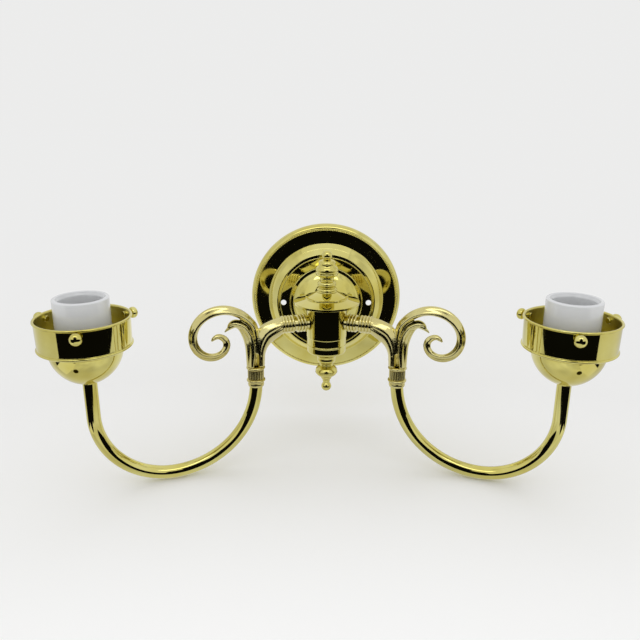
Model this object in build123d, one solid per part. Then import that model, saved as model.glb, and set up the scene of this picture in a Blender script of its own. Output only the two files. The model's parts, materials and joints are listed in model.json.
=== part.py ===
from build123d import *
from math import atan2, cos, pi, radians, sin, sqrt
import os

# Double arm wall sconce in polished brass, with two shade holders and porcelain lampholders.
# Millimetres. X runs to the right as seen from the room, Y into the wall, Z up.
# The origin is on the wall, at the centre of the backplate.
# Each piece of the right arm is drawn once, and mirrored for the left arm.

# ---- Clearances ----
slip_gap = 0.15  # radial, a tube or a nipple in a plain hole
thread_gap = 0.04  # radial, a thread in its tapped hole or its nut
thumb_gap = 0.08  # radial, a thumb screw in the shade holder's wall
seat_gap = 0.02  # between curved faces that seat on each other

# ---- Threads and nuts ----
lamp_thread_r = 5.0
lamp_bore_r = 3.6
arm_thread_r = 4.0
arm_bore_r = 2.8
rod_r = 2.1
nut_height = 2.8
lamp_nut_flats = 13.5
arm_nut_flats = 11.5
thread_end = 0.8  # how far a nipple stands out of its nut
back_washer_h = 1.0

# ---- Backplate: radius, and height out of the wall ----
plate_r = 62.5
plate_sheet = 0.9
plate_edge_h = 3.0
bead_ring_r = 59.4
bead_ring_h = 7.0
bead_width = 2.2
bead_rise = 1.0
outer_band_in_r = 48.0
outer_band_h = 10.0
step_band_in_r = 39.6
step_band_h = 14.2
groove_out_r = 37.5
groove_h = 14.6
groove_in_r = 30.2
dome_r = 27.8
dome_foot_h = 15.4
dome_shoulder_r = 12.6
dome_shoulder_h = 26.6
plate_seat_r = 9.8
plate_depth = 28.0
wall_screw_spacing = 69.85
wall_screw_hole_r = 2.25

# ---- Stem and hub ----
hub_out = 75.0
stem_r = 7.6
stem_foot_h = 1.6
stem_bead_rise = 1.6
stem_bead_half = 2.2
hub_r = 14.8
hub_lower_r = 14.4
hub_wall = 1.5
hub_top = 19.9
hub_ring_z = -15.5
hub_ring_rise = 0.35
hub_ring_half = 0.7
hub_bottom = -21.6
hub_round = 1.6
cap_r = 24.0
cap_sheet = 0.8
cap_edge_h = 1.6
cap_fall = 2.6
cap_riser = 0.9
cap_rise = 3.6
check_ring_r = 9.0
check_ring_low_r = 7.3
check_ring_h = 3.2
finial_bore_h = 8.0

# ---- Arm: s runs along the arm from the hub's axis ----
arm_forward = 18.0  # degrees that each arm leans away from the wall
arm_z = 2.3
collar_r = 5.8
rib_rise = 0.75
rib_pitch = 2.35
rib_groups = [(16.4, 3), (25.3, 4)]  # where each group starts, and its ribs
nipple_end_s = 25.0
wire_way_r = 2.6
tube_r = 4.76
tube_wall = 1.0
leg_s = 54.2
cup_s = 168.0
leg_bend_z = -39.5
inner_bend_r = 62.8
spigot_h = 9.0
spigot_wall = 0.9
ferrule_top = -27.0
ferrule_h = 15.4
ferrule_lip_r = 5.7
ferrule_drum_r = 5.9
ferrule_bead_r = 6.8
flute_count = 20
flute_r = 0.4

# ---- Scroll: a spiral in the arm's plane ----
scroll_s = 81.3
scroll_z = -5.8
scroll_start_angle = 163.4
scroll_start_r = 27.6
scroll_closing = 4.25  # radius lost for each radian of turn
scroll_easing = 0.112
scroll_turn = 365.0
scroll_steps = 13
scroll_half = 3.3  # half thickness where the scroll starts
scroll_swell = 1.08
scroll_fade = 2.38
oval_points = 8  # of each cast section
oval_corner = 0.88  # share of a full oval at its corners, for a soft ridge along the bar

# ---- Cup ----
holder_sheet = 0.8
holder_top = 21.0
holder_r = 30.4
holder_low_r = 30.0
rim_roll_r = 0.85
holder_bead_z = -2.2
holder_bead_rise = 0.8
shoulder_r = 24.0
shoulder_z = -4.6
bowl_bow = 3.3
cup_floor_r = 8.7
cup_floor_z = -23.6
vent_count = 3
vent_r = 1.5
vent_out = 19.0
vent_z = -14.6
vent_slope = 45.0
vent_azimuth = -62.0  # degrees from the arm's line to the first vent
cup_seat_r = 6.1
cup_seat_h = 1.4
tube_top = -12.6

# ---- Thumb screws: distances from the cup's axis ----
thumb_count = 3
thumb_azimuth = 35.5  # degrees from the arm's line to the outer screw
thumb_z = 16.6
thumb_r = 2.08
thumb_tip = 28.0
thumb_head_in = 33.4
thumb_head_h = 4.8
thumb_head_r = 3.9

# ---- Porcelain lampholder ----
bracket_sheet = 1.2
bracket_length = 27.0
bracket_width = 10.0
bracket_z = -12.0
bushing_r = 6.8
porcelain_foot_r = 14.6
porcelain_foot_h = 8.0
porcelain_r = 17.9
porcelain_flare_h = 2.4
porcelain_top = 33.8
porcelain_lip = 0.9
porcelain_bore_r = 14.2
porcelain_mouth_r = 15.2
porcelain_mouth_h = 2.4
porcelain_floor_z = 1.0
lamp_base_r = 13.3
shell_wall = 0.35
shell_h = 23.0
shell_neck_r = 11.4
shell_neck_h = 4.0
shell_eye_r = 6.4
contact_sheet = 0.5
contact_width = 5.0
contact_half = 4.6
contact_rise = 4.4
rivet_r = 1.2
rivet_head_r = 2.2
rivet_head_h = 0.6
rivet_depth = 5.0
base_screw_spacing = 21.0
base_screw_r = 1.5
base_screw_depth = 7.0
base_head_r = 2.8
base_head_h = 1.6
terminal_z = -7.0
terminal_r = 1.7
terminal_depth = 5.0
terminal_head_r = 2.8
terminal_head_h = 1.8

# ---- Turned outlines: radius, height above the seat, bow of the side that ends there ----
top_finial_outline = [
    (7.45, 0.0),
    (7.45, 1.8, -0.5),
    (5.6, 3.2, 0.4),
    (6.8, 5.2, -0.2),
    (6.8, 6.4, -0.5),
    (4.5, 8.2, 0.5),
    (5.1, 11.0, 0.3),
    (8.3, 14.6, 0.9),
    (8.3, 15.8, -0.4),
    (6.7, 19.0, 0.5),
    (6.3, 21.4, -0.4),
    (4.3, 23.4, 0.4),
    (2.9, 24.6, 0.2),
    (2.9, 26.7),
]
top_finial_ball_r = 3.7
bottom_finial_outline = [
    (7.2, 0.0),
    (6.9, 3.0, -0.3),
    (5.2, 5.6, 0.4),
    (5.2, 7.0, -0.4),
    (4.7, 8.4, 0.2),
    (8.3, 12.0, 0.8),
    (8.3, 13.2, -0.4),
    (4.35, 16.4, 0.8),
    (2.95, 19.4, 0.4),
    (2.95, 24.9),
]
bottom_finial_ball_r = 3.85

# ---- Cast bars: s, height, half width in the arm's plane, half depth across it ----
branch_from_collar = [  # above the collar's axis, and sizes over the collar's radius
    (30.0, 0.0, 0.0, 0.0),
    (34.6, -0.4, 0.3, 0.2),
    (39.8, -2.6, 1.2, 0.4),
    (45.8, -6.3, 1.5, 0.3),
]
branch_to_ferrule = [  # above the ferrule
    (49.4, 16.5, 5.6, 5.9),
    (50.8, 9.5, 4.1, 5.8),
    (51.0, 3.0, 3.7, 5.8),
    (51.0, 0.0, 3.7, 5.8),
]
leaf_stations = [  # above the ferrule
    (57.3, 0.0, 3.5, 5.8),
    (57.3, 3.0, 3.6, 5.8),
    (56.9, 9.5, 4.2, 5.7),
    (57.5, 16.5, 4.0, 5.5),
    (59.4, 23.2, 3.6, 5.2),
    (62.9, 29.2, 3.6, 4.8),
    (67.2, 32.9, 3.9, 4.2),
    (71.0, 32.9, 3.1, 3.2),
    (73.6, 31.0, 1.5, 1.7),
    (75.2, 29.0, 0.4, 0.5),
]
scroll_root = [  # above the ferrule
    (53.8, 10.0, 2.0, 4.4),
    (53.6, 19.0, 2.6, 4.3),
]
scroll_hook = [  # from the scroll's centre
    (-2.7, 3.6, 1.8, 1.8),
    (-0.5, 3.9, 1.3, 1.3),
    (1.7, 2.2, 0.3, 0.3),
]
wire_from_collar = [(34.0, -0.3), (40.0, -3.0), (46.0, -7.0)]  # above the collar's axis
wire_to_ferrule = [(50.6, 15.5), (53.3, 9.5), (leg_s, 3.0), (leg_s, 0.0)]  # above the ferrule

# ---- Sizes that follow ----
outer_bend_r = cup_s - leg_s - inner_bend_r
bend_low_z = leg_bend_z - inner_bend_r
cap_ledge_z = hub_top + cap_sheet
cap_top = cap_ledge_z + cap_rise
cap_step_r = hub_r + slip_gap + cap_sheet
check_ring_bottom = hub_bottom - check_ring_h
back_nut_h = plate_depth - plate_sheet - back_washer_h - nut_height
porcelain_base = bracket_z + bracket_sheet
cup_nut_z = cup_floor_z + holder_sheet


# ---- Outlines, turned pieces and sheet ----
def bowed_path(points):
    """Sides through (across, along) points. A third number bows that side to its left."""
    sides = []
    for start, end in zip(points, points[1:]):
        bow = end[2] if len(end) == 3 else 0
        sides.append(SagittaArc(start[:2], end[:2], bow) if bow else Line(start[:2], end[:2]))
    return Wire(sides)


def turned(points):
    """A closed outline of (radius, height) points, revolved about Z."""
    return revolve(Plane.XZ * make_face(bowed_path(points + [points[0][:2]])), Axis.Z)


def spun_sheet(points, sheet, side):
    """A skin of even thickness under the outer (radius, height) points, revolved about Z."""
    skin = offset(bowed_path(points), sheet, kind=Kind.ARC, side=side)
    return revolve(Plane.XZ * make_face(skin), Axis.Z)


def rod(radius, low, high):
    return Pos(0, 0, low) * Cylinder(radius, high - low, align=(Align.CENTER, Align.CENTER, Align.MIN))


def pipe(radius, bore, low, high):
    return rod(radius, low, high) - rod(bore, low, high)


def hex_corner(flats):
    return flats / 2 / cos(pi / 6)


def hex_nut(flats, thread_r, low):
    blank = Pos(0, 0, low) * extrude(RegularPolygon(hex_corner(flats), 6), nut_height)
    return blank - rod(thread_r + thread_gap, low, low + nut_height)


def around(piece, count, first=0.0):
    """Copies of a piece at even turns about Z."""
    return [Rot(0, 0, first + turn * 360 / count) * piece for turn in range(count)]


def oval(half_width, half_depth):
    """A smooth oval face with a soft ridge at the middle of each side."""
    points = []
    for point in range(oval_points):
        angle = 2 * pi * point / oval_points
        share = oval_corner if point % 2 else 1
        points.append((share * half_width * cos(angle), share * half_depth * sin(angle)))
    return make_face(Spline(*points, periodic=True))


def bar(stations):
    """A cast bar through oval sections, each square to the line between its neighbours."""
    sections = []
    for i, (s, z, half_width, half_depth) in enumerate(stations):
        before, after = stations[max(i - 1, 0)], stations[min(i + 1, len(stations) - 1)]
        heading = atan2(after[1] - before[1], after[0] - before[0])
        along, across = (cos(heading), 0, sin(heading)), (-sin(heading), 0, cos(heading))
        sections.append(Plane((s, 0, z), x_dir=across, z_dir=along) * oval(half_width, half_depth))
    return loft(sections)


# ---- Frames ----
lean = radians(arm_forward)
wall_frame = Plane((0, 0, 0), x_dir=(1, 0, 0), z_dir=(0, -1, 0))
hub_frame = Plane((0, -hub_out, 0), x_dir=(1, 0, 0), z_dir=(0, 0, 1))
arm_frame = Plane((0, -hub_out, 0), x_dir=(cos(lean), -sin(lean), 0), z_dir=(0, 0, 1))
collar_axis = Plane((0, 0, arm_z), x_dir=(0, 1, 0), z_dir=(1, 0, 0))


def on_cup(piece):
    """Moves a piece from the cup's own axis to the end of the right arm."""
    return arm_frame * (Pos(cup_s, 0, 0) * piece)


def on_collar(piece):
    """Moves a piece drawn up the Z axis onto the right arm's collar."""
    return arm_frame * (collar_axis * piece)


def wall_seat(flats):
    """Distance from the hub's axis at which a nut's corners meet the inside of the hub."""
    return sqrt((hub_r - hub_wall) ** 2 - hex_corner(flats) ** 2) - seat_gap


# ---- Backplate and stem ----
def backplate():
    plate = spun_sheet(
        [
            (plate_r, 0),
            (plate_r, plate_edge_h),
            (bead_ring_r, bead_ring_h, -0.8),
            (bead_ring_r - bead_width, bead_ring_h + bead_rise, -0.8 * bead_rise),
            (outer_band_in_r, outer_band_h, 0.2),
            (step_band_in_r, step_band_h, 0.9),
            (groove_out_r, groove_h),
            (groove_in_r, groove_h),
            (dome_r, dome_foot_h),
            (dome_shoulder_r, dome_shoulder_h, -1.0),
            (plate_seat_r, plate_depth, 0.3),
            (lamp_thread_r + slip_gap, plate_depth),
        ],
        plate_sheet,
        Side.LEFT,
    )
    hole = rod(wall_screw_hole_r, groove_h - 2 * plate_sheet, groove_h + plate_sheet)
    plate -= [Pos(side * wall_screw_spacing / 2, 0, 0) * hole for side in (-1, 1)]
    return wall_frame * plate


def stem():
    """The turned tube between the plate and the hub, hollowed at its end to the hub's round side."""
    middle = (plate_depth + hub_out - hub_r) / 2
    outline = [
        (lamp_thread_r + slip_gap, plate_depth),
        (plate_seat_r, plate_depth),
        (plate_seat_r, plate_depth + stem_foot_h),
        (stem_r, plate_depth + 2 * stem_foot_h, 0.5),
        (stem_r, middle - stem_bead_half),
        (stem_r, middle + stem_bead_half, -stem_bead_rise),
        (stem_r, hub_out - hub_r / 2),
        (lamp_thread_r + slip_gap, hub_out - hub_r / 2),
    ]
    return wall_frame * turned(outline) - hub_envelope()


def stem_pieces():
    hub_nut_h = hub_out - wall_seat(lamp_nut_flats)
    nipple_end = hub_nut_h + nut_height + thread_end
    washer_h = back_nut_h + nut_height
    washer_r = hex_corner(lamp_nut_flats)
    return {
        "stem": stem(),
        "stem_nipple": wall_frame * pipe(lamp_thread_r, lamp_bore_r, back_nut_h - thread_end, nipple_end),
        "stem_back_nut": wall_frame * hex_nut(lamp_nut_flats, lamp_thread_r, back_nut_h),
        "stem_back_washer": wall_frame
        * pipe(washer_r, lamp_thread_r + slip_gap, washer_h, washer_h + back_washer_h),
        "stem_hub_nut": wall_frame * hex_nut(lamp_nut_flats, lamp_thread_r, hub_nut_h),
    }


# ---- Hub ----
def hub_side(extra=0.0):
    """The outside of the hub's body from the bottom up, or that much further out."""
    return [
        (hub_lower_r - hub_round, hub_bottom),
        (hub_lower_r + extra, hub_bottom + hub_round, 0.28 * -hub_round),
        (hub_lower_r + extra, hub_ring_z - hub_ring_half),
        (hub_lower_r + extra, hub_ring_z + hub_ring_half, -hub_ring_rise),
        (hub_r + extra, arm_z - 2 * collar_r),
        (hub_r + extra, hub_top),
        (0, hub_top),
        (0, hub_bottom),
    ]


def hub_envelope():
    return hub_frame * turned(hub_side(seat_gap))


def hub_body():
    body = turned(hub_side())
    body -= rod(hub_r - hub_wall, hub_bottom + hub_wall, hub_top)
    body -= rod(rod_r + slip_gap, hub_bottom, hub_bottom + hub_wall)
    body = hub_frame * body
    arm_hole = on_collar(rod(arm_thread_r + slip_gap, hub_r / 2, hub_r + hub_wall))
    stem_hole = wall_frame * rod(lamp_thread_r + slip_gap, hub_out - hub_r - hub_wall, hub_out - hub_r / 2)
    return body - [arm_hole, mirror(arm_hole, about=Plane.YZ), stem_hole]


def hub_cap():
    """A shallow lid whose step fits over the top of the hub's body."""
    rim_z = cap_ledge_z - cap_riser - cap_fall
    return hub_frame * spun_sheet(
        [
            (cap_r, rim_z - cap_edge_h),
            (cap_r, rim_z),
            (cap_step_r, cap_ledge_z - cap_riser),
            (cap_step_r, cap_ledge_z),
            (hub_r - 0.5 * hub_wall, cap_ledge_z),
            (top_finial_outline[0][0] + slip_gap, cap_top),
            (rod_r + slip_gap, cap_top),
        ],
        cap_sheet,
        Side.LEFT,
    )


def bottom_check_ring():
    ring = turned(
        [
            (rod_r + slip_gap, check_ring_bottom),
            (check_ring_low_r, check_ring_bottom),
            (check_ring_low_r, hub_bottom - check_ring_h / 2, -0.3),
            (check_ring_r, hub_bottom - 0.3 * check_ring_h, 0.3),
            (check_ring_r, hub_bottom, -0.3),
            (rod_r + slip_gap, hub_bottom),
        ]
    )
    return hub_frame * ring


def finial(outline, ball_r):
    """A turned finial on its seat at height 0, with a ball on its neck, tapped for the rod."""
    neck_top = outline[-1][1]
    body = turned([(0, 0)] + outline + [(0, neck_top)]) + Pos(0, 0, neck_top) * Sphere(ball_r)
    return body - rod(rod_r + thread_gap, 0, finial_bore_h)


def hub_pieces():
    rod_end = finial_bore_h - thread_end
    top = Pos(0, 0, cap_top) * finial(top_finial_outline, top_finial_ball_r)
    hung = Pos(0, 0, check_ring_bottom) * Rot(180, 0, 0)
    bottom = hung * finial(bottom_finial_outline, bottom_finial_ball_r)
    return {
        "hub_body": hub_body(),
        "hub_cap": hub_cap(),
        "hub_rod": hub_frame * rod(rod_r, check_ring_bottom - rod_end, cap_top + rod_end),
        "bottom_check_ring": bottom_check_ring(),
        "top_finial": hub_frame * top,
        "bottom_finial": hub_frame * bottom,
    }


# ---- Arm ----
def collar():
    """The round end of the casting, with its groups of ring ribs."""
    outline = [(0, 0), (collar_r, 0)]
    for group_start, rib_count in rib_groups:
        outline.append((collar_r, group_start))
        for rib in range(rib_count):
            outline.append((collar_r, group_start + (rib + 1) * rib_pitch, -rib_rise))
    outline.append((0, outline[-1][1]))
    return collar_axis * turned(outline)


def raised(stations):
    """Stations given from the top of the ferrule, moved up to it."""
    return [(s, ferrule_top + rise, *sizes) for s, rise, *sizes in stations]


def spiral_stations():
    """The scroll's sections, from the branch round to the hook."""
    stations = []
    for step in range(scroll_steps):
        share = step / (scroll_steps - 1)
        turn = radians(scroll_turn) * share
        radius = scroll_start_r - scroll_closing * turn + scroll_easing * turn**2
        angle = radians(scroll_start_angle) - turn
        half = scroll_half + scroll_swell * share - scroll_fade * share**2
        depth = half + 0.9 * max(0, 1 - 4 * share)
        stations.append((scroll_s + radius * cos(angle), scroll_z + radius * sin(angle), half, depth))
    return stations


def arm_casting():
    branch = [(s, arm_z + rise, collar_r + w, collar_r + d) for s, rise, w, d in branch_from_collar]
    scroll = raised(scroll_root) + spiral_stations()
    scroll += [(scroll_s + s, scroll_z + rise, w, d) for s, rise, w, d in scroll_hook]
    wire_way = [(nipple_end_s - 1, arm_z)] + [(s, arm_z + rise) for s, rise in wire_from_collar]
    wire_way += raised(wire_to_ferrule)
    casting = collar() + [bar(branch + raised(branch_to_ferrule)), bar(raised(leaf_stations)), bar(scroll)]
    spigot_r = tube_r - tube_wall - thread_gap
    casting += Pos(leg_s, 0, 0) * rod(spigot_r, ferrule_top - spigot_h, ferrule_top + 1)
    casting -= Pos(leg_s, 0, 0) * rod(spigot_r - spigot_wall, ferrule_top - spigot_h, ferrule_top)
    casting -= bar([(s, z, wire_way_r, wire_way_r) for s, z in wire_way])
    casting -= collar_axis * rod(arm_thread_r + thread_gap, 0, nipple_end_s)
    return arm_frame * casting - hub_envelope()


def arm_ferrule():
    """A collar between two beads, with upright flutes round its drum."""
    bore = tube_r + slip_gap
    low = ferrule_top - ferrule_h
    bead = ferrule_h / 9
    sleeve = turned(
        [
            (bore, low),
            (ferrule_lip_r, low),
            (ferrule_lip_r, low + 1.7 * bead, -0.2),
            (ferrule_drum_r, low + 2 * bead),
            (ferrule_drum_r, low + 3.4 * bead, ferrule_drum_r - ferrule_bead_r),
            (ferrule_drum_r, low + 7.6 * bead),
            (ferrule_drum_r, ferrule_top, ferrule_drum_r - ferrule_bead_r),
            (bore, ferrule_top),
        ]
    )
    flute = Pos(ferrule_drum_r, 0, 0) * rod(flute_r, low + 3.8 * bead, low + 7.2 * bead)
    return arm_frame * (Pos(leg_s, 0, 0) * (sleeve - around(flute, flute_count)))


def arm_tube():
    """A round tube bent in two arcs that meet at the bottom of the U."""
    top, cup_top = ferrule_top, tube_top
    low = (leg_s + inner_bend_r, bend_low_z)
    path = Plane.XZ * Wire(
        [
            Line((leg_s, top), (leg_s, leg_bend_z)),
            RadiusArc((leg_s, leg_bend_z), low, -inner_bend_r),
            RadiusArc(low, (cup_s, bend_low_z + outer_bend_r), -outer_bend_r),
            Line((cup_s, bend_low_z + outer_bend_r), (cup_s, cup_top)),
        ]
    )
    section = Plane(path @ 0, z_dir=path % 0) * (Circle(tube_r) - Circle(tube_r - tube_wall))
    return arm_frame * sweep(section, path)


def arm_pieces():
    seat = wall_seat(arm_nut_flats)
    nipple_start = seat - nut_height - thread_end
    return {
        "arm_nipple": on_collar(pipe(arm_thread_r, arm_bore_r, nipple_start, nipple_end_s)),
        "arm_nut": on_collar(hex_nut(arm_nut_flats, arm_thread_r, seat - nut_height)),
        "arm_casting": arm_casting(),
        "arm_ferrule": arm_ferrule(),
        "arm_tube": arm_tube(),
    }


# ---- Cup ----
def shade_holder():
    """Band, shoulder and bowl in one spun piece, with a rolled rim, screw holes and vents."""
    shell = spun_sheet(
        [
            (holder_r, holder_top - rim_roll_r),
            (holder_low_r, 0),
            (holder_low_r, holder_bead_z, holder_bead_rise),
            (shoulder_r, shoulder_z),
            (cup_floor_r, cup_floor_z, bowl_bow),
            (tube_r + slip_gap, cup_floor_z),
        ],
        holder_sheet,
        Side.RIGHT,
    )
    shell += Pos(0, 0, holder_top - rim_roll_r) * Torus(holder_r, rim_roll_r)
    screw_hole = Pos(0, 0, thumb_z) * (Rot(0, 90, 0) * rod(thumb_r + thumb_gap, thumb_tip, thumb_head_in))
    vent = Pos(vent_out, 0, vent_z) * (Rot(0, 90 + vent_slope, 0) * rod(vent_r, -3, 3))
    shell -= around(screw_hole, thumb_count, thumb_azimuth)
    shell -= around(vent, vent_count, vent_azimuth)
    return shell


def thumb_screw():
    """A turned screw with a domed head, drawn out along Z from the cup's axis."""
    neck_r = (thumb_r + thumb_head_r) / 2
    thumb_end = thumb_head_in + thumb_head_h
    return turned(
        [
            (0, thumb_tip),
            (thumb_r - 0.4, thumb_tip),
            (thumb_r, thumb_tip + 0.4),
            (thumb_r, thumb_head_in - 0.6),
            (neck_r, thumb_head_in, 0.15),
            (thumb_head_r, thumb_head_in + 0.7, -0.25),
            (thumb_head_r, thumb_end - 0.45 * thumb_head_h),
            (thumb_head_r / 2, thumb_end - 0.1 * thumb_head_h, -0.5),
            (0, thumb_end),
        ]
    )


def cup_pieces():
    pieces = {
        "cup_seat": pipe(cup_seat_r, tube_r + seat_gap, cup_floor_z - cup_seat_h, cup_floor_z),
        "shade_holder": shade_holder(),
        "cup_nut": hex_nut(lamp_nut_flats, tube_r, cup_nut_z),
    }
    screw = Pos(0, 0, thumb_z) * (Rot(0, 90, 0) * thumb_screw())
    for place, turned_screw in zip(("outer", "rear", "front"), around(screw, thumb_count, thumb_azimuth)):
        pieces["thumb_screw_" + place] = turned_screw
    return pieces


# ---- Porcelain lampholder ----
def socket_bracket():
    """A strap with a tapped bushing that screws onto the end of the arm's tube."""
    strap = Pos(0, 0, bracket_z + bracket_sheet / 2) * Box(bracket_length, bracket_width, bracket_sheet)
    low = cup_nut_z + nut_height
    bracket = strap + rod(bushing_r, low, bracket_z + bracket_sheet)
    bracket -= rod(tube_r + thread_gap, low, bracket_z + bracket_sheet)
    return bracket - at_base_screws(rod(base_screw_r + slip_gap, bracket_z, bracket_z + bracket_sheet))


def at_base_screws(piece):
    return [Pos(side * base_screw_spacing / 2, 0, 0) * piece for side in (-1, 1)]


def socket_body():
    """The porcelain, open at the top for the lamp."""
    body = turned(
        [
            (0, porcelain_base),
            (porcelain_foot_r, porcelain_base),
            (porcelain_foot_r, porcelain_base + porcelain_foot_h),
            (porcelain_r, porcelain_base + porcelain_foot_h + porcelain_flare_h),
            (porcelain_r, porcelain_top - porcelain_lip),
            (porcelain_r - porcelain_lip, porcelain_top, -0.3),
            (porcelain_mouth_r, porcelain_top),
            (porcelain_bore_r, porcelain_top - porcelain_mouth_h),
            (porcelain_bore_r, porcelain_floor_z),
            (0, porcelain_floor_z),
        ]
    )
    body -= at_base_screws(rod(base_screw_r + thread_gap, porcelain_base, porcelain_base + base_screw_depth))
    body -= rod(rivet_r + thread_gap, porcelain_floor_z - rivet_depth, porcelain_floor_z)
    hole = Rot(90, 0, 0) * rod(terminal_r + thread_gap, porcelain_foot_r - terminal_depth, porcelain_foot_r)
    return body - around(Pos(0, 0, terminal_z) * hole, 2)


def screw_shell():
    """The threaded shell that takes the lamp's base, necked below to an eye round the contact."""
    outer = lamp_base_r + shell_wall
    return spun_sheet(
        [
            (outer, porcelain_floor_z + shell_h),
            (outer, porcelain_floor_z + shell_neck_h + outer - shell_neck_r),
            (shell_neck_r, porcelain_floor_z + shell_neck_h),
            (shell_neck_r, porcelain_floor_z),
            (shell_eye_r, porcelain_floor_z),
        ],
        shell_wall,
        Side.RIGHT,
    )


def center_contact():
    """A sprung tongue, folded back over itself, that meets the tip of the lamp."""
    z = porcelain_floor_z
    fold = [
        (-contact_half, z),
        (contact_half, z),
        (contact_half, z + contact_rise / 2),
        (-contact_half * 0.6, z + contact_rise),
    ]
    strip = offset(Wire(Polyline(*fold).edges()), contact_sheet, kind=Kind.INTERSECTION, side=Side.LEFT)
    tongue = extrude(Plane.XZ * make_face(strip), contact_width / 2, both=True)
    return tongue - rod(rivet_r + thread_gap, z, z + contact_sheet)


def lampholder_pieces():
    floor = porcelain_floor_z
    rivet = rod(rivet_r, floor - rivet_depth, floor + contact_sheet)
    rivet += rod(rivet_head_r, floor + contact_sheet, floor + contact_sheet + rivet_head_h)
    base_screw = rod(base_screw_r, bracket_z, porcelain_base + base_screw_depth)
    base_screw += rod(base_head_r, bracket_z - base_head_h, bracket_z)
    terminal = rod(terminal_r, porcelain_foot_r - terminal_depth, porcelain_foot_r)
    terminal += rod(terminal_head_r, porcelain_foot_r, porcelain_foot_r + terminal_head_h)
    return {
        "socket_bracket": socket_bracket(),
        "socket_screws": Compound(at_base_screws(base_screw)),
        "socket_body": socket_body(),
        "screw_shell": screw_shell(),
        "center_contact": center_contact(),
        "contact_rivet": rivet,
        "terminal_screws": Compound(around(Pos(0, 0, terminal_z) * (Rot(90, 0, 0) * terminal), 2)),
    }


# ---- The whole sconce ----
def main():
    os.makedirs("parts", exist_ok=True)
    pieces = {"backplate": backplate()} | stem_pieces() | hub_pieces()
    arm = arm_pieces()
    arm |= {name: on_cup(piece) for name, piece in (cup_pieces() | lampholder_pieces()).items()}
    for name, piece in arm.items():
        pieces[name + "_right"] = piece
        pieces[name + "_left"] = mirror(piece, about=Plane.YZ)
    for name, piece in pieces.items():
        export_step(piece, f"parts/{name}.step")


main()
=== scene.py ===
"""Dresses a packed double arm wall sconce in polished brass, porcelain and plated steel.

The scene is in metres. Sizes of pieces are named in millimetres, and MM turns them into metres.
X runs to the right as seen from the room, Y into the wall and Z up. The origin is on the wall, at
the centre of the backplate.
"""

import json
from math import atan2, cos, degrees, pi, radians, sin, tau

import bmesh
import bpy
from bpy.props import FloatProperty, FloatVectorProperty, IntProperty, PointerProperty
from mathutils import Matrix, Vector

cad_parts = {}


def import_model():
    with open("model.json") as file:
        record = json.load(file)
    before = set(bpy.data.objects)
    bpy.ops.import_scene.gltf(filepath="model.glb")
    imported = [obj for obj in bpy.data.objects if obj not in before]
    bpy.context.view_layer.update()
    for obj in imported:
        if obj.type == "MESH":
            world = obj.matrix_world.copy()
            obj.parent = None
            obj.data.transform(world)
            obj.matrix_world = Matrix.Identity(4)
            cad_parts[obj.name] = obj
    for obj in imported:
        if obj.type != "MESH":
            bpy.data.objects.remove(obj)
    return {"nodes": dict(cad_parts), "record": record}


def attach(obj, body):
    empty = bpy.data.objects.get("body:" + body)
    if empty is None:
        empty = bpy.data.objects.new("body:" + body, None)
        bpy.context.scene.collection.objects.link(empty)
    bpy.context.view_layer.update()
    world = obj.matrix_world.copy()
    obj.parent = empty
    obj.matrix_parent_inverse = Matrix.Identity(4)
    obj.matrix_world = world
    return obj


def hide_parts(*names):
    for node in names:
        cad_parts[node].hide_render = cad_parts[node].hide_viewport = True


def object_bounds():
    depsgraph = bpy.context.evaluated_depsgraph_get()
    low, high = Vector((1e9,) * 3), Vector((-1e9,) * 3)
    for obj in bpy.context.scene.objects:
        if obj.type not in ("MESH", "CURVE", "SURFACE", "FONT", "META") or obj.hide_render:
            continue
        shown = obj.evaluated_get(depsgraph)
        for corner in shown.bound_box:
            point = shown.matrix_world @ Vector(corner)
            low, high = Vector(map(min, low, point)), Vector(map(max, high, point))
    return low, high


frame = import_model()
CAD_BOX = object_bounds()

bl_info = {
    "name": "Double Arm Wall Sconce",
    "version": (1, 0, 0),
    "blender": (4, 5, 0),
    "location": "View3D > Sidebar > Sconce",
    "description": "Dresses a double arm wall sconce in brass and porcelain",
    "category": "Add Mesh",
}

MM = 0.001
SIDES = {"right": 1, "left": -1}
BODY = "sconce"
SHARP = 32  # degrees; an edge that turns more than this stays crisp

# ---- Places of the main axes, in millimetres and degrees ----
HUB_OUT = 75.0
ARM_LEAN = 18.0
ARM_Z = 2.3
LEG_S = 54.2
CUP_S = 168.0
FERRULE_TOP = -27.0
FERRULE_H = 15.4
THUMB_TURN = 35.5
THUMB_Z = 16.6


# ======== Settings ========
class SconceBrass(bpy.types.PropertyGroup):
    colour: FloatVectorProperty(
        name="Colour",
        description="Colour of the polished brass",
        default=(0.78, 0.72, 0.26),
        size=3,
        subtype="COLOR",
        min=0.0,
        max=1.0,
    )
    deep_colour: FloatVectorProperty(
        name="Deep colour",
        description="Colour where the lacquer lies thicker",
        default=(0.64, 0.55, 0.12),
        size=3,
        subtype="COLOR",
        min=0.0,
        max=1.0,
    )
    roughness: FloatProperty(
        name="Roughness", description="Roughness of the polish", default=0.035, min=0.0, max=1.0
    )


class SconcePlate(bpy.types.PropertyGroup):
    bead_count: IntProperty(
        name="Beads", description="Fine beads in the ring near the rim", default=244, min=24, max=400
    )
    bead_ring: FloatProperty(
        name="Bead ring radius",
        description="Radius of the ring of fine beads",
        default=58.9 * MM,
        unit="LENGTH",
    )
    screw_spacing: FloatProperty(
        name="Screw spacing",
        description="Distance between the two wall screw holes",
        default=69.85 * MM,
        unit="LENGTH",
    )


class SconceArm(bpy.types.PropertyGroup):
    reed_count: IntProperty(
        name="Reeds", description="Upright reeds round each ferrule", default=20, min=8, max=80
    )
    tube_radius: FloatProperty(
        name="Tube radius", description="Outer radius of the bent tube", default=4.76 * MM, unit="LENGTH"
    )
    voxel: FloatProperty(
        name="Casting detail",
        description="Voxel size of the castings",
        default=0.36 * MM,
        unit="LENGTH",
    )


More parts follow.
